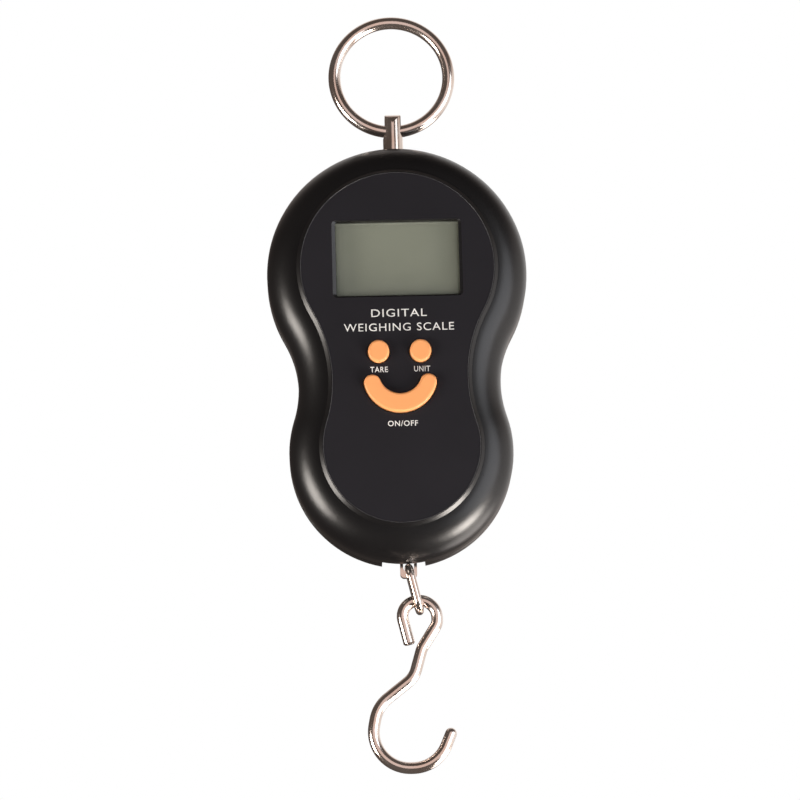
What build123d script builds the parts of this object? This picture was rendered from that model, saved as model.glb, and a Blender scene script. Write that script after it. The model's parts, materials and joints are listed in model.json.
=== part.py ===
from build123d import *
import math
import os

# Digital hanging scale, in millimetres. The origin is the inside top of the carry ring, where
# the scale is hung: +Z up, +X to the right of the display, the display faces -Y. The case
# halves meet at y = 0. Heights called "up from the lower lobe" use LOWER_Z as their zero.

# Carry ring and the eye it runs through
RING_WIRE_R = 1.7
RING_INNER_R = 14.35
RING_R = RING_INNER_R + RING_WIRE_R
RING_Z = -RING_INNER_R
PIVOT_Z = RING_Z - RING_R
EYE_HOLE_R = 2.05
EYE_DROP = 0.12
EYE_THICK = 4.5
EYE_TOP_Z = PIVOT_Z + 4.85
EYE_CORNER_R = 0.7
POST_R = 2.8
POST_THREAD_R = 2.4
POST_CLEARANCE = 0.3

# Case outline: an upper and a lower round lobe with a hollow waist between them
UPPER_R = 36.0
LOWER_R = 30.8
WAIST_R = 30.25
LOBE_SPACING = 50.5
CASE_TOP_Z = PIVOT_Z - 6.55
UPPER_Z = CASE_TOP_Z - UPPER_R
LOWER_Z = UPPER_Z - LOBE_SPACING
FRONT_DEPTH = 13.4
FRONT_EDGE_R = 9.0
REAR_DEPTH = 14.8
REAR_EDGE_R = 12.0
WALL = 2.2
LIP_INSET = 1.2
LIP_HEIGHT = 1.25
LIP_GAP = 0.1
SEAM_CHAMFER = 0.3

# Raised face with its thin printed panel
FACE_INSET = 8.2
FACE_BEVEL = 0.9
FACE_RISE = 0.8
PANEL_INSET = 9.25
PANEL_THICK = 0.4
PANEL_GAP = 0.1

# Display
SCREEN_Z = LOWER_Z + 52.7
SCREEN_OPENING = (35.8, 22.0)
SCREEN_CORNER_R = 1.2
WINDOW_SIZE = (33.8, 20.7)
WINDOW_FLANGE = (38.5, 25.0)
WINDOW_FRONT_Y = -13.3
GLASS_SIZE = (36.0, 24.0)
HOLDER_SIZE = (41.0, 27.0)

# Push buttons
ROUND_BUTTON_RADII = (2.9, 3.15)
ROUND_BUTTON_X = 5.75
ROUND_BUTTON_Z = LOWER_Z + 26.2
SMILE_OUTER_R = 10.15
SMILE_Z = LOWER_Z + 19.2
SMILE_END_R = 2.25
SMILE_END_Z = LOWER_Z + 17.4
SMILE_THICK = 5.25
BUTTON_GAP = 0.3
BUTTON_PROUD_Y = -15.6
BUTTON_EDGE_R = 0.7
FLANGE_BACK_Y = -10.3
FLANGE_THICK = 0.8
FLANGE_REACH = 0.9
PLUNGER_R = 1.1
PLUNGER_BACK_Y = -8.0

# Circuit board, between the display and the load cell
BOARD_FRONT_Y = -6.6
BOARD_BACK_Y = -5.0
BOARD_SIZE = (42.0, 58.5)
SWITCH_SIZE = (5.2, 5.2)
BLOB_R = 5.0
BOARD_Z = LOWER_Z + 37.25

# Load cell: an S-shaped aluminium beam, hung from the post and pulled by the draw bar
CELL_SIZE = (26.0, 7.0, 30.0)
CELL_Z = LOWER_Z + 58.0
CELL_WEB = 1.5
CELL_CUT = 1.6
CELL_CUT_RISE = 8.5
CELL_LIGAMENT = 4.0
CELL_WELL_R = 6.0
DRAW_SHANK_R = 1.95
DRAW_BAR_WIDTH = 8.0
DRAW_BAR_THICK = 2.0
TONGUE_X = 1.2
TONGUE_WIDTH = 4.6
TONGUE_BOTTOM_Z = LOWER_Z - 34.3
TONGUE_HOLE_Z = LOWER_Z - 31.35
TONGUE_HOLE_R = 1.5

# Two AAA cells side by side, behind a door in the rear case
CELL_R = 5.25
CAN_LENGTH = 43.5
CELL_SPACING = 11.1
CELL_Y = 7.9
BAY_BOTTOM_Z = LOWER_Z - 13.0
BAY_TOP_Z = LOWER_Z + 38.0
BAY_HALF = 11.3
BAY_WALL = 1.2
BAY_FRONT_Y = 2.45
DOOR_BOTTOM_Z = LOWER_Z - 15.5
DOOR_TOP_Z = LOWER_Z + 40.0
DOOR_WIDTH = 27.4
DOOR_THICK = 1.6
DOOR_GAP = 0.25
DOOR_HOOK_X = 12.1
DOOR_HOOK_WIDTH = 2.0
FINGER_NOTCH_R = 6.5
SOLDER_TAB_X = 8.0
SOLDER_TAB_Y = 4.0
SOLDER_TAB_WIDTH = 1.6
SOLDER_TAB_HEIGHT = 2.6
BATTERY_WIRE_R = 0.5
CONTACT_Y = 7.2
CONTACT_WIDTH = 8.6
CONTACT_THICK = 0.3
CONTACT_GAP = 0.1

# Screws
CASE_SCREWS = [(x, LOWER_Z + z) for x, z in ((18, 73.5), (-18, 73.5), (19, -14), (-19, -14))]
BOARD_SCREWS = [(x, LOWER_Z + z) for x, z in ((17.5, 36), (-17.5, 36), (14.5, 12), (-14.5, 12))]
CELL_SCREWS = [(x, LOWER_Z + 70) for x in (9.5, -9.5)]
CASE_SCREW_HEAD_Y = 7.0
CASE_HEAD_R = 2.3
CASE_SHANK_R = 1.2
FRONT_BOSS_R = 2.6
REAR_BOSS_R = 3.4
CELL_BOSS_R = 2.4
BOARD_BOSS_R = 2.2
PILOT_R = 1.25
BOARD_PILOT_R = 1.0
HEAD_EDGE_R = 0.35
RECESS_DEPTH = 0.6
BOSS_ROOT = 0.5

# Notch in the bottom of the case, round the draw bar and out through the rear shell
NOTCH_WIDTH = 12.0
NOTCH_FRONT_Y = -2.6
NOTCH_TOP_Z = LOWER_Z - 27.6

# Oval link between the draw bar and the hook, leaning a little towards +X
LINK_WIRE_R = 1.1
LINK_END_R = 3.0
LINK_TOP_Z = TONGUE_HOLE_Z - 0.05
LINK_BOTTOM_X = 4.0

# Hook, bent from one wire: an open eye, a kinked shank and a round bowl. It hangs in the link
HOOK_WIRE_R = 1.6
HOOK_EYE_X = 4.25
HOOK_EYE_Z = LOWER_Z - 40.65
LINK_GAP = 0.12
LINK_BOTTOM_Z = HOOK_EYE_Z - LINK_WIRE_R - HOOK_WIRE_R - LINK_GAP

os.makedirs("parts", exist_ok=True)


def save(piece, name):
    """Labels a finished piece and writes it to its own file."""
    piece.part.label = name
    export_step(piece.part, f"parts/{name}.step")


def at_y(y):
    """Plane across the scale at this y. Extrusions from it run to the front, towards -Y."""
    return Plane.XZ.offset(-y)


def waist_centre():
    """Centre of the right waist circle, which touches both lobes from outside."""
    upper = UPPER_R + WAIST_R
    lower = LOWER_R + WAIST_R
    rise = (LOBE_SPACING**2 - upper**2 + lower**2) / (2 * LOBE_SPACING)
    return math.sqrt(lower**2 - rise**2), LOWER_Z + rise


def gourd(inset):
    """Case outline in the XZ plane, moved inwards by inset all the way round."""
    waist_x, waist_z = waist_centre()
    upper_r, lower_r, waist_r = UPPER_R - inset, LOWER_R - inset, WAIST_R + inset
    upper_x = waist_x * upper_r / (UPPER_R + WAIST_R)
    upper_join = UPPER_Z + (waist_z - UPPER_Z) * upper_r / (UPPER_R + WAIST_R)
    lower_x = waist_x * lower_r / (LOWER_R + WAIST_R)
    lower_join = LOWER_Z + (waist_z - LOWER_Z) * lower_r / (LOWER_R + WAIST_R)
    with BuildSketch() as outline:
        with BuildLine():
            ThreePointArc((-upper_x, upper_join), (0, UPPER_Z + upper_r), (upper_x, upper_join))
            ThreePointArc((upper_x, upper_join), (waist_x - waist_r, waist_z), (lower_x, lower_join))
            ThreePointArc((lower_x, lower_join), (0, LOWER_Z - lower_r), (-lower_x, lower_join))
            ThreePointArc((-lower_x, lower_join), (waist_r - waist_x, waist_z), (-upper_x, upper_join))
        make_face()
    return outline.sketch


def smile(grow):
    """Curved outline of the power button in the XZ plane, made larger by grow."""
    reach = SMILE_OUTER_R - SMILE_END_R
    end_x = math.sqrt(reach**2 - (SMILE_Z - SMILE_END_Z) ** 2)
    inner_low = SMILE_Z - SMILE_OUTER_R + SMILE_THICK
    step = SMILE_END_Z - inner_low + SMILE_END_R
    inner_z = (end_x**2 + SMILE_END_Z**2 - (inner_low - SMILE_END_R) ** 2) / (2 * step)
    inner_r = inner_z - inner_low - grow
    outer_r = SMILE_OUTER_R + grow
    end_r = SMILE_END_R + grow
    end = Vector(end_x, SMILE_END_Z)
    outwards = (end - Vector(0, SMILE_Z)).normalized()
    inwards = (Vector(0, inner_z) - end).normalized()
    outer_end = end + outwards * end_r
    inner_end = end + inwards * end_r
    tip = end + Vector(-outwards.Y, outwards.X) * end_r
    with BuildSketch() as outline:
        with BuildLine():
            ThreePointArc((-outer_end.X, outer_end.Y), (0, SMILE_Z - outer_r), outer_end)
            ThreePointArc(outer_end, tip, inner_end)
            ThreePointArc(inner_end, (0, inner_z - inner_r), (-inner_end.X, inner_end.Y))
            ThreePointArc((-inner_end.X, inner_end.Y), (-tip.X, tip.Y), (-outer_end.X, outer_end.Y))
        make_face()
    return outline.sketch


def case_block(inset, back_y, front_y, edge_r):
    """Solid case outline between two planes, with the edge furthest from y = 0 rounded."""
    with BuildPart() as block:
        with BuildSketch(at_y(back_y)):
            add(gourd(inset))
        extrude(amount=back_y - front_y)
        outer_face = block.faces().sort_by(Axis.Y)[0 if front_y < 0 else -1]
        fillet(outer_face.edges(), edge_r)
    return block.part


def block(size, corner, place, back_y, front_y):
    """Rounded rectangle centred on (x, z), run along Y between two planes."""
    with BuildPart() as piece:
        with BuildSketch(at_y(back_y)):
            with Locations(place):
                RectangleRounded(size[0], size[1], corner)
        extrude(amount=back_y - front_y)
    return piece.part


def pins(places, radius, back_y, front_y):
    """Round posts or holes along Y, one at each (x, z)."""
    with BuildPart() as piece:
        with BuildSketch(at_y(back_y)):
            with Locations(*places):
                Circle(radius)
        extrude(amount=back_y - front_y)
    return piece.part


def screws(places, head, shank, head_y, under_y, tip_y):
    """Pan-head screws along Y with a cross recess; head_y is the outside of the head."""
    away = 1 if head_y > under_y else -1
    with BuildPart() as piece:
        add(pins(places, head, max(head_y, under_y), min(head_y, under_y)))
        rims = piece.edges().filter_by(GeomType.CIRCLE).group_by(Axis.Y)
        fillet(rims[-1 if away > 0 else 0], HEAD_EDGE_R)
        add(pins(places, shank, max(under_y, tip_y), min(under_y, tip_y)))
        recess_y = head_y - away * RECESS_DEPTH
        with BuildSketch(at_y(max(head_y, recess_y))):
            with Locations(*places):
                Rectangle(head, head * 0.26)
                Rectangle(head * 0.26, head)
        extrude(amount=RECESS_DEPTH, mode=Mode.SUBTRACT)
    return piece.part


def case_openings():
    """Post hole in the top of the case and notch in its bottom, cut from both halves."""
    notch_bottom_z = LOWER_Z - LOWER_R - 1
    with BuildPart() as openings:
        with Locations((0, 0, CASE_TOP_Z)):
            Cylinder(POST_R + POST_CLEARANCE, 6 * WALL)
        with BuildSketch(at_y(REAR_DEPTH)):
            with Locations((0, (NOTCH_TOP_Z + notch_bottom_z) / 2)):
                Rectangle(NOTCH_WIDTH, NOTCH_TOP_Z - notch_bottom_z)
        extrude(amount=REAR_DEPTH - NOTCH_FRONT_Y)
    return openings.part


def round_buttons(grow):
    """Outlines of the two round buttons in the XZ plane, made larger by grow."""
    with BuildSketch() as outline:
        with Locations((ROUND_BUTTON_X, ROUND_BUTTON_Z), (-ROUND_BUTTON_X, ROUND_BUTTON_Z)):
            Ellipse(ROUND_BUTTON_RADII[0] + grow, ROUND_BUTTON_RADII[1] + grow)
    return outline.sketch


def hollow_nut(across_flats, hole_r, low_z, high_z):
    """Hexagon nut on the scale's centre line."""
    with BuildPart() as nut:
        with BuildSketch(Plane.XY.offset(low_z)):
            RegularPolygon(across_flats / 2, 6, major_radius=False)
            Circle(hole_r, mode=Mode.SUBTRACT)
        extrude(amount=high_z - low_z)
    return nut.part


# ---------------------------------------------------------------- carry ring and its post
with BuildPart() as carry_ring:
    with Locations((0, 0, RING_Z)):
        Torus(RING_R, RING_WIRE_R, rotation=(90, 0, 0))
save(carry_ring, "carry_ring")

POST_SHOULDER_Z = LOWER_Z + 78
POST_TIP_Z = LOWER_Z + 67.9
FLAT_FOOT_Z = PIVOT_Z - 0.2
FLAT_END_Z = PIVOT_Z - 1.7
EYE_CROWN_Z = EYE_TOP_Z - POST_R
with BuildPart() as ring_post:
    with BuildSketch(Plane.XY.offset(POST_SHOULDER_Z)):
        Circle(POST_R)
    extrude(amount=EYE_TOP_Z - POST_SHOULDER_Z)
    # Round crown, seen from the side
    with BuildSketch(Plane.YZ.offset(-POST_R)):
        with Locations((0, EYE_CROWN_Z)):
            Circle(POST_R)
        with Locations((0, (EYE_CROWN_Z + POST_SHOULDER_Z) / 2)):
            Rectangle(2 * POST_R, EYE_CROWN_Z - POST_SHOULDER_Z)
    extrude(amount=2 * POST_R, mode=Mode.INTERSECT)
    # Flats on both sides of the eye, running out into the round shank above the case
    with BuildSketch(at_y(POST_R)) as profile:
        with BuildLine():
            Polyline(
                (-POST_R, POST_SHOULDER_Z),
                (POST_R, POST_SHOULDER_Z),
                (POST_R, FLAT_END_Z),
                (EYE_THICK / 2, FLAT_FOOT_Z),
                (EYE_THICK / 2, EYE_TOP_Z),
                (-EYE_THICK / 2, EYE_TOP_Z),
                (-EYE_THICK / 2, FLAT_FOOT_Z),
                (-POST_R, FLAT_END_Z),
                close=True,
            )
        make_face()
        fillet(profile.vertices().group_by(Axis.Y)[-1], EYE_CORNER_R)
    extrude(amount=2 * POST_R, mode=Mode.INTERSECT)
    with BuildSketch(Plane.XY.offset(POST_TIP_Z)):
        Circle(POST_THREAD_R)
    extrude(amount=POST_SHOULDER_Z - POST_TIP_Z)
    # The hole runs along X, in line with the ring's wire
    with BuildSketch(Plane.YZ.offset(-POST_R)):
        with Locations((0, PIVOT_Z - EYE_DROP)):
            Circle(EYE_HOLE_R)
    extrude(amount=2 * POST_R, mode=Mode.SUBTRACT)
save(ring_post, "ring_post")

with BuildPart() as ring_post_nut:
    add(hollow_nut(8.0, POST_THREAD_R + 0.05, LOWER_Z + 73.05, LOWER_Z + 76.5))
save(ring_post_nut, "ring_post_nut")

# ---------------------------------------------------------------- front case
FACE_Y = -FRONT_DEPTH - FACE_RISE
PANEL_BACK_Y = FACE_Y + PANEL_THICK
INNER_FRONT_Y = -FRONT_DEPTH + WALL
with BuildPart() as front_case:
    add(case_block(0, 0, -FRONT_DEPTH, FRONT_EDGE_R))
    chamfer(front_case.faces().sort_by(Axis.Y)[-1].edges(), SEAM_CHAMFER)
    with BuildSketch(at_y(-FRONT_DEPTH + 1)):
        add(gourd(FACE_INSET))
    extrude(amount=1)
    with BuildSketch(at_y(-FRONT_DEPTH)):
        add(gourd(FACE_INSET))
    with BuildSketch(at_y(FACE_Y)):
        add(gourd(FACE_INSET + FACE_BEVEL))
    loft(ruled=True)
    add(case_block(WALL, 0, INNER_FRONT_Y, FRONT_EDGE_R - WALL), mode=Mode.SUBTRACT)
    # Rabbet for the rear case's lip
    with BuildSketch(at_y(0)):
        add(gourd(LIP_INSET - LIP_GAP))
    extrude(amount=LIP_HEIGHT + LIP_GAP, mode=Mode.SUBTRACT)
    # Bosses for the case screws and the board screws
    add(pins(CASE_SCREWS, FRONT_BOSS_R, -0.2, INNER_FRONT_Y - BOSS_ROOT))
    add(pins(CASE_SCREWS, PILOT_R, 0, INNER_FRONT_Y + 2), mode=Mode.SUBTRACT)
    add(pins(BOARD_SCREWS, BOARD_BOSS_R, BOARD_FRONT_Y, INNER_FRONT_Y - BOSS_ROOT))
    add(pins(BOARD_SCREWS, BOARD_PILOT_R, BOARD_FRONT_Y, INNER_FRONT_Y + 1), mode=Mode.SUBTRACT)
    # Recess for the printed panel, the display opening and the button holes
    with BuildSketch(at_y(PANEL_BACK_Y)):
        add(gourd(PANEL_INSET))
    extrude(amount=1, mode=Mode.SUBTRACT)
    with BuildSketch(at_y(INNER_FRONT_Y)):
        with Locations((0, SCREEN_Z)):
            RectangleRounded(*SCREEN_OPENING, SCREEN_CORNER_R)
        add(round_buttons(BUTTON_GAP))
        add(smile(BUTTON_GAP))
    extrude(amount=INNER_FRONT_Y - FACE_Y, mode=Mode.SUBTRACT)
    add(case_openings(), mode=Mode.SUBTRACT)
save(front_case, "front_case")

with BuildPart() as face_panel:
    with BuildSketch(at_y(PANEL_BACK_Y)):
        add(gourd(PANEL_INSET + PANEL_GAP))
        with Locations((0, SCREEN_Z)):
            RectangleRounded(*SCREEN_OPENING, SCREEN_CORNER_R, mode=Mode.SUBTRACT)
        add(round_buttons(BUTTON_GAP), mode=Mode.SUBTRACT)
        add(smile(BUTTON_GAP), mode=Mode.SUBTRACT)
    extrude(amount=PANEL_THICK)
save(face_panel, "face_panel")

# ---------------------------------------------------------------- rear case
INNER_REAR_Y = REAR_DEPTH - WALL
BAY_MIDDLE = (0, (BAY_TOP_Z + BAY_BOTTOM_Z) / 2)
BAY_SIZE = (2 * BAY_HALF, BAY_TOP_Z - BAY_BOTTOM_Z)
DOOR_MIDDLE = (0, (DOOR_TOP_Z + DOOR_BOTTOM_Z) / 2)
DOOR_SIZE = (DOOR_WIDTH, DOOR_TOP_Z - DOOR_BOTTOM_Z)
REBATE_Y = REAR_DEPTH - DOOR_THICK - 0.1
with BuildPart() as rear_case:
    add(case_block(0, REAR_DEPTH, 0, REAR_EDGE_R))
    chamfer(rear_case.faces().sort_by(Axis.Y)[0].edges(), SEAM_CHAMFER)
    add(case_block(WALL, INNER_REAR_Y, 0, REAR_EDGE_R - WALL), mode=Mode.SUBTRACT)
    # Lip that locates the front case
    with BuildSketch(at_y(1)):
        add(gourd(LIP_INSET))
        add(gourd(WALL), mode=Mode.SUBTRACT)
    extrude(amount=1 + LIP_HEIGHT)
    # Battery bay
    outer_bay = (BAY_SIZE[0] + 2 * BAY_WALL, BAY_SIZE[1] + 2 * BAY_WALL)
    add(block(outer_bay, 1.5, BAY_MIDDLE, INNER_REAR_Y + BOSS_ROOT, BAY_FRONT_Y - 1))
    # Screw bosses
    shell_middle = case_block(WALL / 2, REAR_DEPTH - WALL / 2, 0, REAR_EDGE_R - WALL / 2)
    add(pins(CASE_SCREWS, REAR_BOSS_R, INNER_REAR_Y + BOSS_ROOT, 0.1) & shell_middle)
    add(pins(CELL_SCREWS, CELL_BOSS_R, INNER_REAR_Y + BOSS_ROOT, CELL_SIZE[1] / 2 + 0.05))
    add(block(BAY_SIZE, 0.6, BAY_MIDDLE, REAR_DEPTH, BAY_FRONT_Y), mode=Mode.SUBTRACT)
    rebate = (DOOR_SIZE[0] + 2 * DOOR_GAP, DOOR_SIZE[1] + 2 * DOOR_GAP)
    add(block(rebate, 2.2, DOOR_MIDDLE, REAR_DEPTH, REBATE_Y), mode=Mode.SUBTRACT)
    # Notches that the door's two hooks turn in
    with Locations(*[(side * DOOR_HOOK_X, 11.6, DOOR_BOTTOM_Z + 2.0) for side in (1, -1)]):
        Box(DOOR_HOOK_WIDTH + 0.6, 3.2, 4.4, mode=Mode.SUBTRACT)
    # Notches that the contacts' solder tabs pass through
    with Locations(*[(side * SOLDER_TAB_X, SOLDER_TAB_Y, BAY_TOP_Z + BAY_WALL / 2) for side in (1, -1)]):
        Box(SOLDER_TAB_WIDTH + 0.4, 1.6, 2 * BAY_WALL, mode=Mode.SUBTRACT)
    # Finger notch above the door
    with Locations((0, REAR_DEPTH + FINGER_NOTCH_R - 1.3, DOOR_TOP_Z + 2)):
        Sphere(FINGER_NOTCH_R, mode=Mode.SUBTRACT)
    # Screw holes, sunk deep on the outside
    add(pins(CASE_SCREWS, CASE_SHANK_R + 0.3, REAR_DEPTH, -1), mode=Mode.SUBTRACT)
    add(pins(CASE_SCREWS, CASE_HEAD_R + 0.2, REAR_DEPTH, CASE_SCREW_HEAD_Y), mode=Mode.SUBTRACT)
    add(pins(CELL_SCREWS, PILOT_R, INNER_REAR_Y - 1, 0), mode=Mode.SUBTRACT)
    add(case_openings(), mode=Mode.SUBTRACT)
save(rear_case, "rear_case")

with BuildPart() as case_screws:
    add(screws(CASE_SCREWS, CASE_HEAD_R, CASE_SHANK_R, CASE_SCREW_HEAD_Y + 2.0, CASE_SCREW_HEAD_Y, -7.5))
save(case_screws, "case_screws")

# ---------------------------------------------------------------- display
GLASS_BACK_Y = -8.1
with BuildPart() as lcd_window:
    add(block(WINDOW_FLANGE, 0.8, (0, SCREEN_Z), INNER_FRONT_Y + 0.8, INNER_FRONT_Y))
    add(block(WINDOW_SIZE, 0.5, (0, SCREEN_Z), INNER_FRONT_Y, WINDOW_FRONT_Y))
    chamfer(lcd_window.faces().sort_by(Axis.Y)[0].edges(), 0.25)
save(lcd_window, "lcd_window")

with BuildPart() as lcd_glass:
    add(block(GLASS_SIZE, 0.3, (0, SCREEN_Z), GLASS_BACK_Y, INNER_FRONT_Y + 0.9))
save(lcd_glass, "lcd_glass")

with BuildPart() as lcd_reflector:
    reflector = (GLASS_SIZE[0] - 1, GLASS_SIZE[1] - 5)
    add(block(reflector, 0.3, (0, SCREEN_Z), GLASS_BACK_Y + 0.4, GLASS_BACK_Y + 0.05))
save(lcd_reflector, "lcd_reflector")

with BuildPart() as zebra_strips:
    for side in (1, -1):
        strip_z = SCREEN_Z + side * (GLASS_SIZE[1] / 2 - 1.2)
        add(block((GLASS_SIZE[0] - 2, 1.8), 0.2, (0, strip_z), BOARD_FRONT_Y, GLASS_BACK_Y))
save(zebra_strips, "zebra_strips")

with BuildPart() as lcd_holder:
    add(block(HOLDER_SIZE, 1.0, (0, SCREEN_Z), BOARD_FRONT_Y, INNER_FRONT_Y + 0.9))
    glass_room = (GLASS_SIZE[0] + 0.4, GLASS_SIZE[1] + 0.4)
    add(block(glass_room, 0.3, (0, SCREEN_Z), BOARD_FRONT_Y, INNER_FRONT_Y), mode=Mode.SUBTRACT)
save(lcd_holder, "lcd_holder")

# ---------------------------------------------------------------- push buttons and the board
FLANGE_FRONT_Y = FLANGE_BACK_Y - FLANGE_THICK
SWITCH_FRONT_Y = -8.5
SWITCHES = {
    "tare": (-ROUND_BUTTON_X, ROUND_BUTTON_Z),
    "unit": (ROUND_BUTTON_X, ROUND_BUTTON_Z),
    "power": (0, SMILE_Z - SMILE_OUTER_R + SMILE_THICK / 2),
}
for side, name in enumerate(("tare", "unit")):
    with BuildPart() as button:
        with BuildSketch(at_y(FLANGE_FRONT_Y)):
            add(round_buttons(0).faces().sort_by(Axis.X)[side])
        extrude(amount=FLANGE_FRONT_Y - BUTTON_PROUD_Y)
        fillet(button.faces().sort_by(Axis.Y)[0].edges(), BUTTON_EDGE_R)
        with BuildSketch(at_y(FLANGE_BACK_Y)):
            add(round_buttons(FLANGE_REACH).faces().sort_by(Axis.X)[side])
        extrude(amount=FLANGE_THICK)
    save(button, f"{name}_button")

with BuildPart() as power_button:
    with BuildSketch(at_y(FLANGE_FRONT_Y)):
        add(smile(0))
    extrude(amount=FLANGE_FRONT_Y - BUTTON_PROUD_Y)
    fillet(power_button.faces().sort_by(Axis.Y)[0].edges(), BUTTON_EDGE_R)
    with BuildSketch(at_y(FLANGE_BACK_Y)):
        add(smile(FLANGE_REACH))
    extrude(amount=FLANGE_THICK)
save(power_button, "power_button")

for name, place in SWITCHES.items():
    with BuildPart() as plunger:
        add(pins([place], PLUNGER_R, PLUNGER_BACK_Y, FLANGE_BACK_Y))
    save(plunger, f"{name}_plunger")

with BuildPart() as tact_switches:
    for place in SWITCHES.values():
        add(block(SWITCH_SIZE, 0.4, place, BOARD_FRONT_Y, SWITCH_FRONT_Y))
    add(pins(SWITCHES.values(), PLUNGER_R + 0.08, PLUNGER_BACK_Y + 0.7, SWITCH_FRONT_Y), mode=Mode.SUBTRACT)
save(tact_switches, "tact_switches")

with BuildPart() as circuit_board:
    add(block(BOARD_SIZE, 2.0, (0, BOARD_Z), BOARD_BACK_Y, BOARD_FRONT_Y))
    add(pins(BOARD_SCREWS, BOARD_PILOT_R + 0.1, BOARD_BACK_Y, BOARD_FRONT_Y), mode=Mode.SUBTRACT)
save(circuit_board, "circuit_board")

with BuildPart() as board_screws:
    add(screws(BOARD_SCREWS, 1.8, BOARD_PILOT_R - 0.05, BOARD_BACK_Y + 1.3, BOARD_BACK_Y, -9.6))
save(board_screws, "board_screws")

with BuildPart() as controller_blob:
    add(pins([(0, LOWER_Z + 20)], BLOB_R, BOARD_BACK_Y + 1.2, BOARD_BACK_Y))
    fillet(controller_blob.faces().sort_by(Axis.Y)[-1].edges(), 1.1)
save(controller_blob, "controller_blob")

CHIP_PLACES = [(side * 8, LOWER_Z + z) for side in (1, -1) for z in (20, 24, 28)]
with BuildPart() as circuit_parts:
    for place in CHIP_PLACES:
        add(block((2.0, 1.25), 0.1, place, BOARD_BACK_Y + 0.9, BOARD_BACK_Y))
    add(block((3.6, 8.6), 1.7, (14, LOWER_Z + 24), BOARD_BACK_Y + 3.2, BOARD_BACK_Y))
    add(block((5.0, 9.0), 0.3, (-14, LOWER_Z + 24), BOARD_BACK_Y + 1.5, BOARD_BACK_Y))
save(circuit_parts, "circuit_parts")

# ---------------------------------------------------------------- load cell
CELL_LOW_Z = CELL_Z - CELL_SIZE[2] / 2
CELL_TOP_Z = CELL_Z + CELL_SIZE[2] / 2
with BuildPart() as load_cell:
    with Locations((0, 0, CELL_Z)):
        Box(*CELL_SIZE)
    chamfer(load_cell.edges().filter_by(Axis.Y), 0.6)
    # Two cuts from opposite sides leave an S; the middle is thinned to a web from both faces
    for side in (1, -1):
        with Locations((side * CELL_LIGAMENT / 2, 0, CELL_Z + side * CELL_CUT_RISE)):
            Box(CELL_SIZE[0] - CELL_LIGAMENT + 0.01, CELL_SIZE[1], CELL_CUT, mode=Mode.SUBTRACT)
    add(pins([(0, CELL_Z)], CELL_WELL_R, CELL_SIZE[1] / 2, CELL_WEB / 2), mode=Mode.SUBTRACT)
    add(pins([(0, CELL_Z)], CELL_WELL_R, -CELL_WEB / 2, -CELL_SIZE[1] / 2), mode=Mode.SUBTRACT)
    add(pins(CELL_SCREWS, 1.5, CELL_SIZE[1] / 2, -CELL_SIZE[1] / 2), mode=Mode.SUBTRACT)
    with Locations((0, 0, CELL_TOP_Z)):
        Cylinder(POST_THREAD_R + 0.05, 10.6, mode=Mode.SUBTRACT)
    with Locations((0, 0, CELL_LOW_Z)):
        Cylinder(DRAW_SHANK_R + 0.05, 10.6, mode=Mode.SUBTRACT)
save(load_cell, "load_cell")

with BuildPart() as load_cell_screws:
    add(screws(CELL_SCREWS, 2.5, 1.2, -CELL_SIZE[1] / 2 - 1.6, -CELL_SIZE[1] / 2, 9.5))
save(load_cell_screws, "load_cell_screws")

GAUGE_OUT = CELL_WEB / 2 + 0.15
SEALANT_DEPTH = 1.6
with BuildPart() as strain_gauges:
    for side in (1, -1):
        for lean in (2.2, -2.2):
            low, high = sorted((side * CELL_WEB / 2, side * GAUGE_OUT))
            add(block((3.2, 4.6), 0.2, (lean, CELL_Z), high, low))
save(strain_gauges, "strain_gauges")

with BuildPart() as gauge_sealant:
    for side in (1, -1):
        low, high = sorted((side * GAUGE_OUT, side * (GAUGE_OUT + SEALANT_DEPTH)))
        add(pins([(0, CELL_Z)], CELL_WELL_R - 0.2, high, low))
save(gauge_sealant, "gauge_sealant")

with BuildPart() as gauge_wires:
    for x in (-3, -1, 1, 3):
        start = Vector(x, -GAUGE_OUT - SEALANT_DEPTH, CELL_Z - 2)
        front = start + (0, -1.7, 0)
        foot = (x, front.Y, CELL_Z - 12)
        with BuildLine():
            route = FilletPolyline(start, front, foot, (x, BOARD_BACK_Y, CELL_Z - 12), radius=0.6)
        with BuildSketch(Plane(origin=route @ 0, z_dir=route % 0)):
            Circle(0.3)
        sweep()
save(gauge_wires, "gauge_wires")

# ---------------------------------------------------------------- draw bar
BAR_TOP_Z = LOWER_Z + 40
TAPER_Z = LOWER_Z - 22
with BuildPart() as draw_bar:
    with BuildSketch(at_y(DRAW_BAR_THICK / 2)):
        with BuildLine():
            left, right = TONGUE_X - TONGUE_WIDTH / 2, TONGUE_X + TONGUE_WIDTH / 2
            half = DRAW_BAR_WIDTH / 2
            Polyline(
                (-half, BAR_TOP_Z),
                (half, BAR_TOP_Z),
                (half, TAPER_Z),
                (right, TAPER_Z - 4),
                (right, TONGUE_BOTTOM_Z),
                (left, TONGUE_BOTTOM_Z),
                (left, TAPER_Z - 4),
                (-half, TAPER_Z),
                close=True,
            )
        make_face()
    extrude(amount=DRAW_BAR_THICK)
    feet = draw_bar.edges().filter_by(Axis.Y).group_by(Axis.Z)[0]
    fillet(feet, 1.1)
    with BuildSketch(Plane.XY.offset(BAR_TOP_Z)):
        Circle(DRAW_SHANK_R)
    extrude(amount=8.0)
    # Long hole that the link hangs in
    with BuildSketch(at_y(DRAW_BAR_THICK)):
        with Locations((TONGUE_X, TONGUE_HOLE_Z + 1.0)):
            SlotOverall(2 * TONGUE_HOLE_R + 2.0, 2 * TONGUE_HOLE_R, rotation=90)
    extrude(amount=2 * DRAW_BAR_THICK, mode=Mode.SUBTRACT)
save(draw_bar, "draw_bar")

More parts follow.
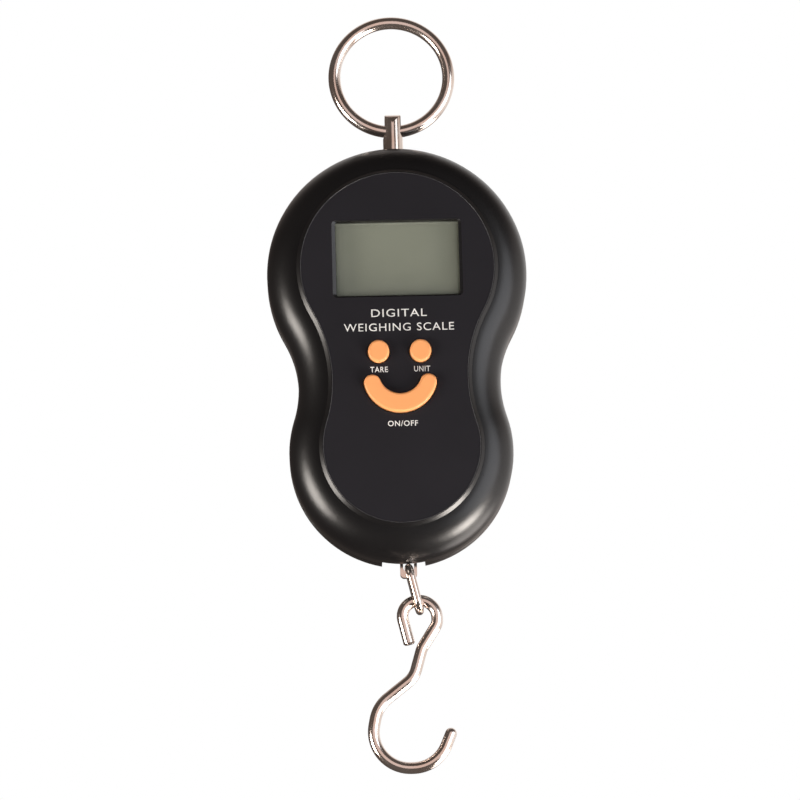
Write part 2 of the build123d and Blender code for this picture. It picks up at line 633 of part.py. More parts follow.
with BuildPart() as draw_bar_nut:
    add(hollow_nut(7.0, DRAW_SHANK_R + 0.05, BAR_TOP_Z + 0.4, CELL_LOW_Z - 0.05))
save(draw_bar_nut, "draw_bar_nut")

# ---------------------------------------------------------------- batteries and contacts
SPRING_LENGTH = 5.0
SPRING_WIRE_R = 0.3
SPRING_TURNS = 4
SPRING_FOOT_R = 3.4
SPRING_TAPER = 0.35
NUB_LENGTH = 1.0
NUB_R = 1.9
FLOOR_Z = BAY_BOTTOM_Z + CONTACT_GAP + CONTACT_THICK
CEILING_Z = BAY_TOP_Z - CONTACT_GAP - CONTACT_THICK
# The left cell stands on a spring; the right one stands on its nub, with a spring above it
LEFT_X = -CELL_SPACING / 2
RIGHT_X = CELL_SPACING / 2
LEFT_CAN_Z = FLOOR_Z + SPRING_LENGTH
RIGHT_CAN_Z = FLOOR_Z + NUB_LENGTH
with BuildPart() as battery_cells:
    for x, low_z in ((LEFT_X, LEFT_CAN_Z), (RIGHT_X, RIGHT_CAN_Z)):
        with BuildSketch(Plane.XY.offset(low_z)):
            with Locations((x, CELL_Y)):
                Circle(CELL_R)
        extrude(amount=CAN_LENGTH)
    fillet(battery_cells.edges().filter_by(GeomType.CIRCLE), 0.5)
save(battery_cells, "battery_cells")

with BuildPart() as battery_terminals:
    for x, low_z in ((LEFT_X, LEFT_CAN_Z + CAN_LENGTH), (RIGHT_X, FLOOR_Z)):
        with BuildSketch(Plane.XY.offset(low_z)):
            with Locations((x, CELL_Y)):
                Circle(NUB_R)
        extrude(amount=NUB_LENGTH)
save(battery_terminals, "battery_terminals")

with BuildPart() as contact_plates:
    for side in (1, -1):
        with Locations((side * RIGHT_X, CONTACT_Y, CEILING_Z + CONTACT_THICK / 2)):
            Box(CONTACT_WIDTH, CONTACT_WIDTH, CONTACT_THICK)
        with Locations((side * SOLDER_TAB_X, SOLDER_TAB_Y, CEILING_Z + SOLDER_TAB_HEIGHT / 2)):
            Box(SOLDER_TAB_WIDTH, CONTACT_THICK, SOLDER_TAB_HEIGHT)
save(contact_plates, "contact_plates")

with BuildPart() as contact_bridge:
    with Locations((0, CONTACT_Y, FLOOR_Z - CONTACT_THICK / 2)):
        Box(CELL_SPACING + CONTACT_WIDTH, CONTACT_WIDTH, CONTACT_THICK)
save(contact_bridge, "contact_bridge")

RIGHT_ROOM = CEILING_Z - RIGHT_CAN_Z - CAN_LENGTH
with BuildPart() as contact_springs:
    springs = ((LEFT_X, FLOOR_Z, 1, SPRING_LENGTH), (RIGHT_X, CEILING_Z, -1, RIGHT_ROOM))
    for x, foot_z, turn, room in springs:
        pitch = (room - 2.5 * SPRING_WIRE_R) / (SPRING_TURNS - 1)
        for coil in range(SPRING_TURNS):
            with Locations((x, CELL_Y, foot_z + turn * (1.2 * SPRING_WIRE_R + coil * pitch))):
                Torus(SPRING_FOOT_R - SPRING_TAPER * coil, SPRING_WIRE_R)
        for side in (1, -1):
            with Locations((x + side * 2.8, CELL_Y, foot_z + turn * room / 2)):
                Box(0.5, 0.5, room - 0.6)
save(contact_springs, "contact_springs")

WIRE_TOP_Z = CEILING_Z + SOLDER_TAB_HEIGHT + BATTERY_WIRE_R + 0.05
WIRE_LOW_Z = WIRE_TOP_Z - 8
with BuildPart() as battery_wires:
    for x in (SOLDER_TAB_X, -SOLDER_TAB_X):
        solder = (x, SOLDER_TAB_Y + 0.2, WIRE_TOP_Z)
        bends = [solder, (x, -3.2, WIRE_TOP_Z), (x, -3.2, WIRE_LOW_Z), (x, BOARD_BACK_Y, WIRE_LOW_Z)]
        with BuildLine():
            route = FilletPolyline(*bends, radius=0.9)
        with BuildSketch(Plane(origin=route @ 0, z_dir=route % 0)):
            Circle(BATTERY_WIRE_R)
        sweep()
save(battery_wires, "battery_wires")

# ---------------------------------------------------------------- battery door
with BuildPart() as battery_door:
    add(block(DOOR_SIZE, 2.0, DOOR_MIDDLE, REAR_DEPTH, REAR_DEPTH - DOOR_THICK))
    # Grip ribs in a shallow hollow near the top
    add(block((14, 9), 2.0, (0, DOOR_TOP_Z - 8), REAR_DEPTH, REAR_DEPTH - 0.6), mode=Mode.SUBTRACT)
    for rib in range(4):
        add(block((11, 0.8), 0.3, (0, DOOR_TOP_Z - 11 + 2 * rib), REAR_DEPTH, REAR_DEPTH - 0.7))
    # Two hooks at the lower edge
    with Locations(*[(side * DOOR_HOOK_X, 12.05, DOOR_BOTTOM_Z + 0.6) for side in (1, -1)]):
        Box(DOOR_HOOK_WIDTH, 2.5, 1.0)
    with Locations(*[(side * DOOR_HOOK_X, 11.4, DOOR_BOTTOM_Z - 0.5) for side in (1, -1)]):
        Box(DOOR_HOOK_WIDTH, 1.2, 3.2)
save(battery_door, "battery_door")

# ---------------------------------------------------------------- link and hook
link_lean = math.atan2(LINK_BOTTOM_X - TONGUE_X, LINK_TOP_Z - LINK_BOTTOM_Z)
link_length = math.hypot(LINK_BOTTOM_X - TONGUE_X, LINK_TOP_Z - LINK_BOTTOM_Z)
link_plane = Plane(
    origin=(TONGUE_X, 0, LINK_TOP_Z),
    x_dir=(0, 1, 0),
    z_dir=(math.cos(link_lean), 0, math.sin(link_lean)),
)
with BuildPart() as link:
    with BuildLine(link_plane):
        low = -link_length
        r = LINK_END_R
        loop = [
            ThreePointArc((-r, -r), (0, 0), (r, -r)),
            Line((r, -r), (r, low + r)),
            ThreePointArc((r, low + r), (0, low), (-r, low + r)),
            Line((-r, low + r), (-r, -r)),
        ]
    with BuildSketch(Plane(origin=loop[0] @ 0, z_dir=loop[0] % 0)):
        Circle(LINK_WIRE_R)
    sweep()
save(link, "link")

# Corners of the hook's wire, from its free end round the eye, down the shank and round the
# bowl, as (x, height, bend radius), counted from the middle of the eye's top
HOOK_BENDS = (
    (-6.1, -0.3, 4.3),
    (4.4, 0.4, 4.75),
    (4.4, -6.4, 3.6),
    (0.0, -13.2, 6.0),
    (-2.3, -21.0, 6.8),
    (-12.4, -28.8, 9.6),
    (-15.9, -46.0, 9.9),
    (3.4, -45.8, 9.9),
)
HOOK_START = (-3.3, -12.0)
HOOK_POINT = (7.3, -36.7)
hook_plane = Plane(origin=(HOOK_EYE_X, 0, HOOK_EYE_Z), x_dir=(1, 0, 0), z_dir=(0, -1, 0))
with BuildPart() as hook:
    corners = [HOOK_START] + [(x, z) for x, z, _ in HOOK_BENDS] + [HOOK_POINT]
    with BuildLine(hook_plane):
        wire = FilletPolyline(*corners, radius=[bend for _, _, bend in HOOK_BENDS])
    with BuildSketch(Plane(origin=wire @ 0, z_dir=wire % 0)):
        Circle(HOOK_WIRE_R)
    sweep()
    blunt_end = hook.faces().sort_by_distance(wire @ 0)[0]
    chamfer(blunt_end.edges(), 0.35)
    with Locations(wire @ 1):
        Sphere(HOOK_WIRE_R)
save(hook, "hook")
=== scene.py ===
import json
import math

import bmesh
import bpy
from mathutils import Matrix, Vector


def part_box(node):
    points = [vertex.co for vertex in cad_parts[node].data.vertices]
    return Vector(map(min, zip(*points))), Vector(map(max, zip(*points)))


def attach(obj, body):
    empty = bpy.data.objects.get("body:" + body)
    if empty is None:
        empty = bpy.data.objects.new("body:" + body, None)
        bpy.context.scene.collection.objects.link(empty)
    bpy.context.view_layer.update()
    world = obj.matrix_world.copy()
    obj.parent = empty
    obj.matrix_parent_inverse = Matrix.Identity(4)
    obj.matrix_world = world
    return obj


# Looks of the digital hanging scale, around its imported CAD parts. Everything is in metres.
MM = 0.001
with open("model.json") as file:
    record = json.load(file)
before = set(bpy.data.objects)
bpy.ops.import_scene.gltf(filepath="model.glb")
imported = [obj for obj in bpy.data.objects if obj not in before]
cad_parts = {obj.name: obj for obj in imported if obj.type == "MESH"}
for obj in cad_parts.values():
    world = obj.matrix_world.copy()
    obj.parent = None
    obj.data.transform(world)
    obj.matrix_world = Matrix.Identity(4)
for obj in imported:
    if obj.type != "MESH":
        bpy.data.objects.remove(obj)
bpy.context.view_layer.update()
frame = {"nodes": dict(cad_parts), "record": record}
scene = bpy.context.scene

case_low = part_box("front_case")[0]
panel_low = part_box("face_panel")[0]
LOWER_LOBE_R = 30.8 * MM
LOWER_LOBE_Z = case_low.z + LOWER_LOBE_R
FACE_Y = panel_low.y
SCRATCH = 0.5


# ---------------------------------------------------------------- node helpers
def add_node(tree, kind, inputs=None, **settings):
    """New node. Each input is a value, or another node's output to link from."""
    node = tree.nodes.new(kind)
    for key, value in settings.items():
        setattr(node, key, value)
    for key, value in (inputs or {}).items():
        if isinstance(value, bpy.types.NodeSocket):
            tree.links.new(value, node.inputs[key])
        else:
            node.inputs[key].default_value = value
    return node


class Nodes:
    """Builds one material's node tree a node at a time."""

    def __init__(self, name):
        self.material = bpy.data.materials.new(name)
        self.material.use_nodes = True
        self.tree = self.material.node_tree
        self.shader = self.tree.nodes["Principled BSDF"]

    def add(self, kind, inputs=None, **settings):
        return add_node(self.tree, kind, inputs, **settings)

    def place(self):
        return self.add("ShaderNodeTexCoord").outputs["Object"]

    def noise(self, scale, detail=3.0, roughness=0.55, stretch=None):
        where = self.place()
        if stretch:
            where = self.add("ShaderNodeMapping", {"Vector": where, "Scale": stretch}).outputs["Vector"]
        settings = {"Vector": where, "Scale": scale, "Detail": detail, "Roughness": roughness}
        return self.add("ShaderNodeTexNoise", settings).outputs["Fac"]

    def spread(self, value, low, high, from_low=0.3, from_high=0.7):
        limits = {"From Min": from_low, "From Max": from_high, "To Min": low, "To Max": high}
        return self.add("ShaderNodeMapRange", {"Value": value, **limits}).outputs["Result"]

    def blend(self, factor, first, second):
        node = self.add("ShaderNodeMix", data_type="RGBA")
        for socket, value in ((node.inputs[0], factor), (node.inputs[6], first), (node.inputs[7], second)):
            if isinstance(value, bpy.types.NodeSocket):
                self.tree.links.new(value, socket)
            elif isinstance(value, (int, float)):
                socket.default_value = value
            else:
                socket.default_value = (*value, 1.0)
        return node.outputs[2]

    def join(self, value, socket):
        self.tree.links.new(value, self.shader.inputs[socket])

    def bump(self, height, distance, strength=1.0, normal=None):
        inputs = {"Height": height, "Distance": distance, "Strength": strength}
        if normal:
            inputs["Normal"] = normal
        return self.add("ShaderNodeBump", inputs).outputs["Normal"]

    def set(self, **values):
        for key, value in values.items():
            self.shader.inputs[key.replace("_", " ")].default_value = value


def shade(colour, amount):
    return tuple(min(1.0, channel * amount) for channel in colour)


def moulded(name, colour, rough, grain=0.16 * MM, depth=0.006 * MM, mottle=0.12, specular=0.5):
    """Injection-moulded plastic: fine spark texture, slow drifts of tone, and uneven gloss."""
    made = Nodes(name)
    drift = made.noise(1 / (14 * MM), 2.0)
    fine = made.noise(1 / grain, 2.0, 0.6)
    tone = made.blend(made.spread(drift, 0.0, 1.0), shade(colour, 1 - mottle), shade(colour, 1 + mottle))
    made.join(tone, "Base Color")
    made.join(made.spread(fine, rough - 0.03, rough + 0.05), "Roughness")
    made.join(made.bump(fine, depth), "Normal")
    made.set(Specular_IOR_Level=specular)
    return made.material


def printed_film(name, colour):
    """Matt hard-coated film, with the pebbled coat that such films have."""
    made = Nodes(name)
    coat = made.noise(1 / (0.09 * MM), 2.0, 0.5)
    drift = made.noise(1 / (22 * MM), 2.0)
    tone = made.blend(made.spread(drift, 0.0, 1.0), shade(colour, 0.94), shade(colour, 1.07))
    made.join(tone, "Base Color")
    made.join(made.spread(coat, 0.46, 0.56), "Roughness")
    made.join(made.bump(coat, 0.0025 * MM), "Normal")
    made.set(Specular_IOR_Level=0.2)
    return made.material


def plated(name, colour, rough):
    """Bright plating over drawn wire: faint draw lines, fine pits and warmer, cloudy patches."""
    made = Nodes(name)
    cloud = made.noise(1 / (7 * MM), 2.0)
    pits = made.noise(1 / (0.35 * MM), 2.0, 0.6)
    lines = made.noise(1 / (0.35 * MM), 2.0, 0.5, stretch=(1.0, 1.0, 0.12))
    warm = tuple(channel * loss for channel, loss in zip(colour, (0.93, 0.84, 0.78)))
    made.join(made.blend(made.spread(cloud, 0.0, 1.0), warm, colour), "Base Color")
    made.join(made.spread(cloud, rough, rough + 0.05), "Roughness")
    first = made.bump(lines, 0.0012 * MM, SCRATCH)
    made.join(made.bump(pits, 0.0007 * MM, SCRATCH, first), "Normal")
    made.set(Metallic=0.97)
    return made.material


def machined(name, colour, rough):
    """Cut or rolled metal, with lines from the tool."""
    made = Nodes(name)
    lines = made.noise(1 / (0.2 * MM), 2.0, 0.5, stretch=(0.08, 1.0, 1.0))
    cloud = made.noise(1 / (5 * MM), 2.0)
    made.join(made.blend(made.spread(cloud, 0.0, 1.0), shade(colour, 0.88), colour), "Base Color")
    made.join(made.spread(lines, rough - 0.05, rough + 0.08), "Roughness")
    made.join(made.bump(lines, 0.004 * MM), "Normal")
    made.set(Metallic=1.0)
    return made.material


def clear_window(name):
    """Thin clear acrylic, slightly smoked, that shows the display behind it."""
    made = Nodes(name)
    wipe = made.noise(1 / (4 * MM), 3.0)
    made.join(made.blend(made.spread(wipe, 0.0, 1.0), (0.42, 0.45, 0.38), (0.47, 0.50, 0.43)), "Base Color")
    made.join(made.spread(wipe, 0.05, 0.09), "Roughness")
    made.set(Alpha=0.22, IOR=1.49, Specular_IOR_Level=0.5)
    made.material.surface_render_method = "BLENDED"
    return made.material


def liquid_crystal(name, colour):
    """Display cell, switched off: grey-green polariser, a shade darker towards both ends, inside
    a printed black frame."""
    made = Nodes(name)
    parts = made.add("ShaderNodeSeparateXYZ", {"Vector": made.place()}).outputs
    left = made.spread(parts["X"], 1.0, 0.0, ACTIVE_LEFT - LEFT_BLUR, ACTIVE_LEFT + LEFT_BLUR)
    right = made.spread(parts["X"], 0.0, 1.0, ACTIVE_RIGHT - RIGHT_BLUR, ACTIVE_RIGHT + RIGHT_BLUR)
    ends = made.add("ShaderNodeMath", {0: left, 1: right}, operation="ADD").outputs[0]
    cloud = made.noise(1 / (18 * MM), 2.0)
    weave = made.noise(1 / (0.12 * MM), 2.0)
    active = made.blend(made.spread(cloud, 0.0, 1.0), shade(colour, 0.97), shade(colour, 1.04))
    glass = made.blend(ends, active, shade(colour, 0.88))
    inside = None
    sides = ((parts["X"], 0.0, SEEN_HALF_WIDTH), (parts["Z"], SEEN_MIDDLE_Z, SEEN_HALF_HEIGHT))
    for part, middle, half in sides:
        offset = made.add("ShaderNodeMath", {0: part, 1: middle}, operation="SUBTRACT").outputs[0]
        offset = made.add("ShaderNodeMath", {0: offset}, operation="ABSOLUTE").outputs[0]
        within = made.spread(offset, 1.0, 0.0, half, half + FRAME_BLUR)
        if inside:
            inside = made.add("ShaderNodeMath", {0: inside, 1: within}, operation="MULTIPLY").outputs[0]
        else:
            inside = within
    made.join(made.blend(inside, FRAME_BLACK, glass), "Base Color")
    made.join(made.spread(weave, 0.42, 0.5), "Roughness")
    made.join(made.bump(weave, 0.001 * MM), "Normal")
    made.set(Specular_IOR_Level=0.3)
    return made.material


# ---------------------------------------------------------------- materials for the CAD nodes
window_low, window_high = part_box("lcd_window")
SEEN_HALF_WIDTH = 17.1 * MM
SEEN_HALF_HEIGHT = 10.5 * MM
SEEN_MIDDLE_Z = (window_low.z + window_high.z) / 2 + 0.45 * MM
ACTIVE_LEFT = -SEEN_HALF_WIDTH + 2.5 * MM
ACTIVE_RIGHT = SEEN_HALF_WIDTH - 1.7 * MM
LEFT_BLUR = 0.2 * MM
RIGHT_BLUR = 0.8 * MM
FRAME_BLUR = 0.1 * MM
FRAME_BLACK = (0.012, 0.012, 0.011)

MATERIALS = {
    "case_black": moulded("case_abs_black", (0.0068, 0.0065, 0.0070), 0.30),
    "panel_grey": printed_film("panel_film", (0.0148, 0.0138, 0.0172)),
    "window_clear": clear_window("window_acrylic"),
    "lcd_green": liquid_crystal("lcd_polariser", (0.172, 0.184, 0.128)),
    "white_plastic": moulded("holder_white", (0.72, 0.72, 0.69), 0.45),
    "silver_film": moulded("reflector_film", (0.70, 0.70, 0.66), 0.35),
    "grey_rubber": moulded("zebra_rubber", (0.24, 0.24, 0.25), 0.65),
    "board_green": moulded("solder_mask", (0.02, 0.13, 0.05), 0.35, grain=0.5 * MM),
    "epoxy_black": moulded("epoxy_blob", (0.012, 0.012, 0.012), 0.2, grain=1.2 * MM),
    "part_brown": moulded("chip_ceramic", (0.2, 0.13, 0.07), 0.4),
    "switch_black": moulded("switch_nylon", (0.03, 0.03, 0.032), 0.5),
    "button_orange": moulded("button_orange", (0.97, 0.415, 0.158), 0.46, mottle=0.03, specular=0.35),
    "nickel": plated("nickel_plate", (0.82, 0.765, 0.73), 0.13),
    "cell_aluminium": machined("cell_aluminium", (0.72, 0.73, 0.74), 0.32),
    "screw_steel": machined("zinc_steel", (0.55, 0.55, 0.57), 0.3),
    "foil_gold": machined("gauge_foil", (0.7, 0.5, 0.2), 0.3),
    "sealant_white": moulded("silicone_sealant", (0.8, 0.8, 0.77), 0.4, grain=0.8 * MM),
    "wire_red": moulded("wire_jacket", (0.42, 0.03, 0.02), 0.45),
    "battery_wrap": moulded("battery_sleeve", (0.04, 0.09, 0.2), 0.3, mottle=0.2),
    "contact_steel": machined("contact_steel", (0.7, 0.69, 0.66), 0.25),
}
slot_of = {part["node"]: part["material_slot"] for part in frame["record"]["subparts"]}
for node_name, node in frame["nodes"].items():
    node.data.materials.clear()
    node.data.materials.append(MATERIALS[slot_of[node_name]])


# ---------------------------------------------------------------- making a piece
def solid_mesh(name, curve):
    """Mesh of a curve or a line of text, as it is drawn."""
    source = bpy.data.objects.new(name + "_source", curve)
    scene.collection.objects.link(source)
    bpy.context.view_layer.update()
    drawn = source.evaluated_get(bpy.context.evaluated_depsgraph_get())
    mesh = bpy.data.meshes.new_from_object(drawn)
    bpy.data.objects.remove(source)
    return mesh


def new_piece(name, mesh, material):
    mesh.materials.clear()
    mesh.materials.append(material)
    piece = bpy.data.objects.new(name, mesh)
    scene.collection.objects.link(piece)
    return piece


# ---------------------------------------------------------------- printed legends
LETTER_DEPTH = 0.05
LETTER_SPACING = 1.12
MARK_WEIGHT = 0.010
INK_THICK = 0.02 * MM
ink = moulded("white_ink", (0.78, 0.78, 0.76), 0.5, grain=0.12 * MM, depth=0.002 * MM, mottle=0.08)


def legend(name, words, middle, size, weight=0.0):
    """One line of printed ink on the face, fitted to a width and a height."""
    curve = bpy.data.curves.new(name + "_outline", "FONT")
    curve.body = words
    curve.extrude = LETTER_DEPTH
    curve.offset = weight
    curve.space_character = LETTER_SPACING
    curve.resolution_u = 4
    mesh = solid_mesh(name, curve)
    low = [min(v.co[i] for v in mesh.vertices) for i in range(3)]
    high = [max(v.co[i] for v in mesh.vertices) for i in range(3)]
    to_unit = [1 / (end - start) for start, end in zip(low, high)]
    for vertex in mesh.vertices:
        u, v, w = ((vertex.co[i] - low[i]) * to_unit[i] for i in range(3))
        x = middle[0] + (u - 0.5) * size[0]
        z = middle[1] + (v - 0.5) * size[1]
        vertex.co = (x, FACE_Y - w * INK_THICK, z)
    piece = new_piece(name, mesh, ink)
    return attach(piece, "case")


TITLE_HEIGHT = 2.2 * MM
MARK_HEIGHT = 1.55 * MM
MARKS_Z = LOWER_LOBE_Z + 21.2 * MM
button_x = (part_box("unit_button")[0].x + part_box("unit_button")[1].x) / 2
legend("legend_title_top", "DIGITAL", (0.1 * MM, LOWER_LOBE_Z + 37.1 * MM), (15.2 * MM, TITLE_HEIGHT))
legend("legend_title_low", "WEIGHING SCALE", (0.0, LOWER_LOBE_Z + 33.1 * MM), (30.2 * MM, TITLE_HEIGHT))
legend("legend_tare", "TARE", (-button_x, MARKS_Z), (4.8 * MM, MARK_HEIGHT), MARK_WEIGHT)
legend("legend_unit", "UNIT", (button_x + 0.3 * MM, MARKS_Z), (4.4 * MM, MARK_HEIGHT), MARK_WEIGHT)
legend("legend_power", "ON/OFF", (0.4 * MM, LOWER_LOBE_Z + 6.0 * MM), (8.2 * MM, MARK_HEIGHT), MARK_WEIGHT)


# ---------------------------------------------------------------- fine edges of the face
SAME_POINT = 0.001 * MM
SAME_PLANE = 0.01 * MM
BEAD_RADIUS = 0.09 * MM
OPENING_HALF_WIDTH = 17.9 * MM
OPENING_HALF_HEIGHT = 11.0 * MM
LIP = (1.0 * MM, -0.8 * MM, 0.45 * MM, -0.3 * MM)
LIP_DEPTH = 0.35 * MM
LIP_SET_BACK = 0.02 * MM
LIP_THICK = 0.3 * MM
LIP_OUTER_R = 1.2 * MM
LIP_INNER_R = 0.7 * MM
LIP_CORNER_STEPS = 8
LIP_SHARP_ANGLE = math.radians(15)


def outer_loop(mesh, y):
    """Corners of a flat-fronted solid's outer edge at this y, in order."""
    work = bmesh.new()
    work.from_mesh(mesh)
    bmesh.ops.remove_doubles(work, verts=work.verts, dist=SAME_POINT)
    rim = [
        edge for edge in work.edges
        if all(abs(v.co.y - y) < SAME_PLANE for v in edge.verts)
        and len(edge.link_faces) == 2
        and sorted(abs(face.normal.y) > 0.5 for face in edge.link_faces) == [False, True]
    ]
    neighbours = {}
    for edge in rim:
        first, second = edge.verts
        neighbours.setdefault(first, []).append(second)
        neighbours.setdefault(second, []).append(first)
    here = min(neighbours, key=lambda v: v.co.z)
    before, loop = None, []
    while not loop or here is not loop[0]:
        loop.append(here)
        onward = [v for v in neighbours[here] if v is not before]
        before, here = here, onward[0]
    points = [v.co.copy() for v in loop]
    work.free()
    return points


def edge_bead(name, points, radius, material):
    """Fine round bead along a closed line on the case."""
    curve = bpy.data.curves.new(name + "_line", "CURVE")
    curve.dimensions = "3D"
    curve.bevel_depth = radius
    curve.bevel_resolution = 3
    spline = curve.splines.new("POLY")
    spline.points.add(len(points) - 1)
    for place, point in zip(spline.points, points):
        place.co = (*point, 1.0)
    spline.use_cyclic_u = True
    mesh = solid_mesh(name, curve)
    mesh.polygons.foreach_set("use_smooth", [True] * len(mesh.polygons))
    piece = new_piece(name, mesh, material)
    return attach(piece, "case")


def rounded_loop(sides, corner_r, y):
    """Points round a rectangle with round corners. sides is (left, right, bottom, top)."""
    left, right, bottom, top = sides
    centres = (
        (right - corner_r, top - corner_r), (left + corner_r, top - corner_r),
        (left + corner_r, bottom + corner_r), (right - corner_r, bottom + corner_r),
    )
    points = []
    for quarter, (x, z) in enumerate(centres):
        for step in range(LIP_CORNER_STEPS + 1):
            angle = math.pi / 2 * (quarter + step / LIP_CORNER_STEPS)
            points.append((x + corner_r * math.cos(angle), y, z + corner_r * math.sin(angle)))
    return points


def opening_trim(name, outer, inner, depth, material):
    """Sloping lip round the display opening. outer and inner are (left, right, bottom, top)."""
    back_y = FACE_Y + depth + LIP_THICK
    rings = [
        rounded_loop(outer, LIP_OUTER_R, FACE_Y + LIP_SET_BACK),
        rounded_loop(inner, LIP_INNER_R, FACE_Y + depth),
        rounded_loop(inner, LIP_INNER_R, back_y),
        rounded_loop(outer, LIP_OUTER_R, back_y),
    ]
    count = len(rings[0])
    faces = []
    for ring in range(len(rings)):
        this, after = count * ring, count * ((ring + 1) % len(rings))
        for i in range(count):
            j = (i + 1) % count
            faces.append((this + i, this + j, after + j, after + i))
    mesh = bpy.data.meshes.new(name)
    mesh.from_pydata([point for ring in rings for point in ring], [], faces)
    work = bmesh.new()
    work.from_mesh(mesh)
    bmesh.ops.recalc_face_normals(work, faces=work.faces)
    work.to_mesh(mesh)
    work.free()
    mesh.polygons.foreach_set("use_smooth", [True] * len(mesh.polygons))
    mesh.set_sharp_from_angle(angle=LIP_SHARP_ANGLE)
    piece = new_piece(name, mesh, material)
    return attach(piece, "case")


# Grey bead on the face's edge, lighter than the face film: partly the film's cut edge, partly a painted
# highlight of the edge catching light all round.
film_edge_painted_highlight = moulded("film_edge_painted_highlight", (0.05, 0.05, 0.054), 0.28, grain=0.2 * MM, depth=0.001 * MM)
panel_outline = outer_loop(frame["nodes"]["face_panel"].data, FACE_Y)
edge_bead("panel_edge", panel_outline, BEAD_RADIUS, film_edge_painted_highlight)
opening_z = (window_low.z + window_high.z) / 2
opening = (
    -OPENING_HALF_WIDTH, OPENING_HALF_WIDTH,
    opening_z - OPENING_HALF_HEIGHT, opening_z + OPENING_HALF_HEIGHT,
)
lip_inside = tuple(side + step for side, step in zip(opening, LIP))
lip_black = moulded("opening_lip", (0.010, 0.010, 0.011), 0.24, depth=0.002 * MM)
opening_trim("opening_lip", opening, lip_inside, LIP_DEPTH, lip_black)


# ---------------------------------------------------------------- camera
CAMERA_AZIMUTH = math.radians(-1.2)
CAMERA_ELEVATION = math.radians(-13.0)
CAMERA_DISTANCE = 1.10
CAMERA_ROLL = math.radians(-1.5)
LENS = 179.0
SENSOR_WIDTH = 36.0
target = Vector((0.06 * MM, 0, LOWER_LOBE_Z + 15.8 * MM))
away = Vector((
    math.sin(CAMERA_AZIMUTH) * math.cos(CAMERA_ELEVATION),
    -math.cos(CAMERA_AZIMUTH) * math.cos(CAMERA_ELEVATION),
    math.sin(CAMERA_ELEVATION),
))
camera = bpy.data.objects.new("camera", bpy.data.cameras.new("camera"))
scene.collection.objects.link(camera)
camera.data.lens = LENS
camera.data.sensor_width = SENSOR_WIDTH
turn = (-away).to_track_quat("-Z", "Y").to_matrix() @ Matrix.Rotation(CAMERA_ROLL, 3, "Z")
camera.matrix_world = Matrix.Translation(target + away * CAMERA_DISTANCE) @ turn.to_4x4()
scene.camera = camera


# ---------------------------------------------------------------- light
def softbox(name, clock, off_axis, distance, size, power, colour):
    """Round light aimed at the case. clock is degrees clockwise from the top as seen from the
    front, and off_axis is its angle in degrees from the line straight out of the face."""
    clock, off_axis = math.radians(clock), math.radians(off_axis)
    sideways = Vector((math.sin(clock), 0, math.cos(clock)))
    direction = sideways * math.sin(off_axis) - Vector((0, 1, 0)) * math.cos(off_axis)
    light = bpy.data.lights.new(name, "AREA")
    light.shape = "DISK"
    light.size = size
    light.energy = power
    light.color = colour
    lamp = bpy.data.objects.new(name, light)
    scene.collection.objects.link(lamp)
    lamp.visible_camera = False
    lamp.matrix_world = Matrix.Translation(target + direction * distance) @ (
        (-direction).to_track_quat("-Z", "Y").to_matrix().to_4x4()
    )
    return lamp


WARM = (1.0, 0.93, 0.86)
softbox("softbox_low_right", 134, 74, 0.58, 0.24, 4.2, WARM)
softbox("softbox_rim_right", 134, 112, 0.7, 0.45, 1.9, (1.0, 0.93, 0.88))
softbox("softbox_low_left", 252, 68, 0.8, 0.44, 7.6, WARM)
softbox("card_right", 94, 45, 1.2, 1.1, 7.5, (0.93, 0.95, 1.0))

# A warm card straight in front of the scale, which lights the bright wirework only.
card_front = softbox("card_front", 0, 3, 1.15, 1.0, 1.8, (1.0, 0.80, 0.74))
wirework = bpy.data.collections.new("wirework")
for node_name in ("carry_ring", "ring_post", "draw_bar", "link", "hook"):
    wirework.objects.link(frame["nodes"][node_name])
card_front.light_linking.receiver_collection = wirework

world = bpy.data.worlds.new("studio")
scene.world = world
world.use_nodes = True
sky = world.node_tree
sky.nodes.clear()
WALL_FROM = Vector((0.62, 0, 0.70))
SIDE_FROM = Vector((0.99, 0.1, -0.1)).normalized()
BEHIND = Vector((0, 1, 0))
SIDE_SHARE = 0.8
ROOM_RISE = 1.08
ROOM_DARK = 0.07
DARK_TINT = (1.0, 0.80, 0.70, 1.0)
LIGHT_TINT = (1.0, 0.985, 0.97, 1.0)


def sky_node(kind, inputs=None, **settings):
    return add_node(sky, kind, inputs, **settings)


way = sky_node("ShaderNodeTexCoord").outputs["Generated"]


def ramp(direction, dark, bright):
    """Goes smoothly from 0 to 1 as a ray turns towards a direction."""
    facing = sky_node("ShaderNodeVectorMath", {0: way, 1: direction}, operation="DOT_PRODUCT")
    limits = {"Value": facing.outputs["Value"], "From Min": dark, "From Max": bright}
    return sky_node("ShaderNodeMapRange", limits, interpolation_type="SMOOTHSTEP").outputs["Result"]


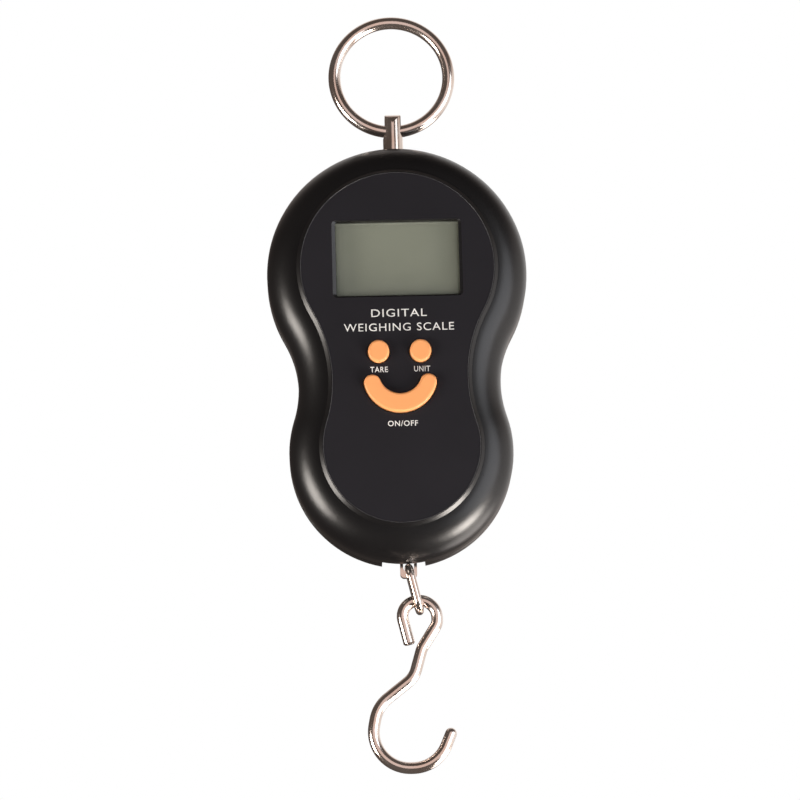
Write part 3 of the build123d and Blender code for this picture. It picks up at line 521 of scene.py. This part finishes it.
wall = sky_node(
    "ShaderNodeMath", {0: ramp(WALL_FROM, -0.15, 0.60), 1: ramp(BEHIND, -0.06, 0.8)}, operation="MULTIPLY"
).outputs[0]
side = sky_node(
    "ShaderNodeMath", {0: ramp(SIDE_FROM, 0.70, 0.97), 1: SIDE_SHARE}, operation="MULTIPLY"
).outputs[0]
both = sky_node("ShaderNodeMath", {0: wall, 1: side}, operation="MAXIMUM").outputs[0]
level = sky_node("ShaderNodeMath", {0: both, 1: ROOM_RISE, 2: ROOM_DARK}, operation="MULTIPLY_ADD").outputs[0]
tint = sky_node("ShaderNodeMix", {0: both}, data_type="RGBA")
tint.inputs[6].default_value = DARK_TINT
tint.inputs[7].default_value = LIGHT_TINT
room = sky_node("ShaderNodeBackground", {"Color": tint.outputs[2], "Strength": level}).outputs[0]
paper = sky_node("ShaderNodeBackground", {"Color": (1.0, 1.0, 1.0, 1.0), "Strength": 1.0}).outputs[0]
seen = sky_node("ShaderNodeLightPath").outputs["Is Camera Ray"]
mixed = sky_node("ShaderNodeMixShader", {0: seen, 1: room, 2: paper}).outputs[0]
sky_node("ShaderNodeOutputWorld", {"Surface": mixed})
scene.view_settings.view_transform = "Standard"

# ---------------------------------------------------------------- floor, well below the hook
FLOOR_Z = -1.7
FLOOR_HALF = 8.0
FLOOR_TONES = ((0.87, 0.87, 0.86), (0.90, 0.90, 0.89))
floor_mesh = bpy.data.meshes.new("floor")
corners = [(x * FLOOR_HALF, y * FLOOR_HALF, FLOOR_Z) for x, y in ((-1, -1), (1, -1), (1, 1), (-1, 1))]
floor_mesh.from_pydata(corners, [], [(0, 1, 2, 3)])
floor = bpy.data.objects.new("floor", floor_mesh)
scene.collection.objects.link(floor)
floor_paint = Nodes("floor_paper")
paper_tone = floor_paint.blend(floor_paint.noise(3.0), *FLOOR_TONES)
floor_paint.join(paper_tone, "Emission Color")
floor_paint.set(Base_Color=(0.0, 0.0, 0.0, 1.0), Roughness=1.0, Specular_IOR_Level=0.0, Emission_Strength=1.0)
floor_mesh.materials.append(floor_paint.material)
floor.visible_glossy = False
floor.visible_diffuse = False
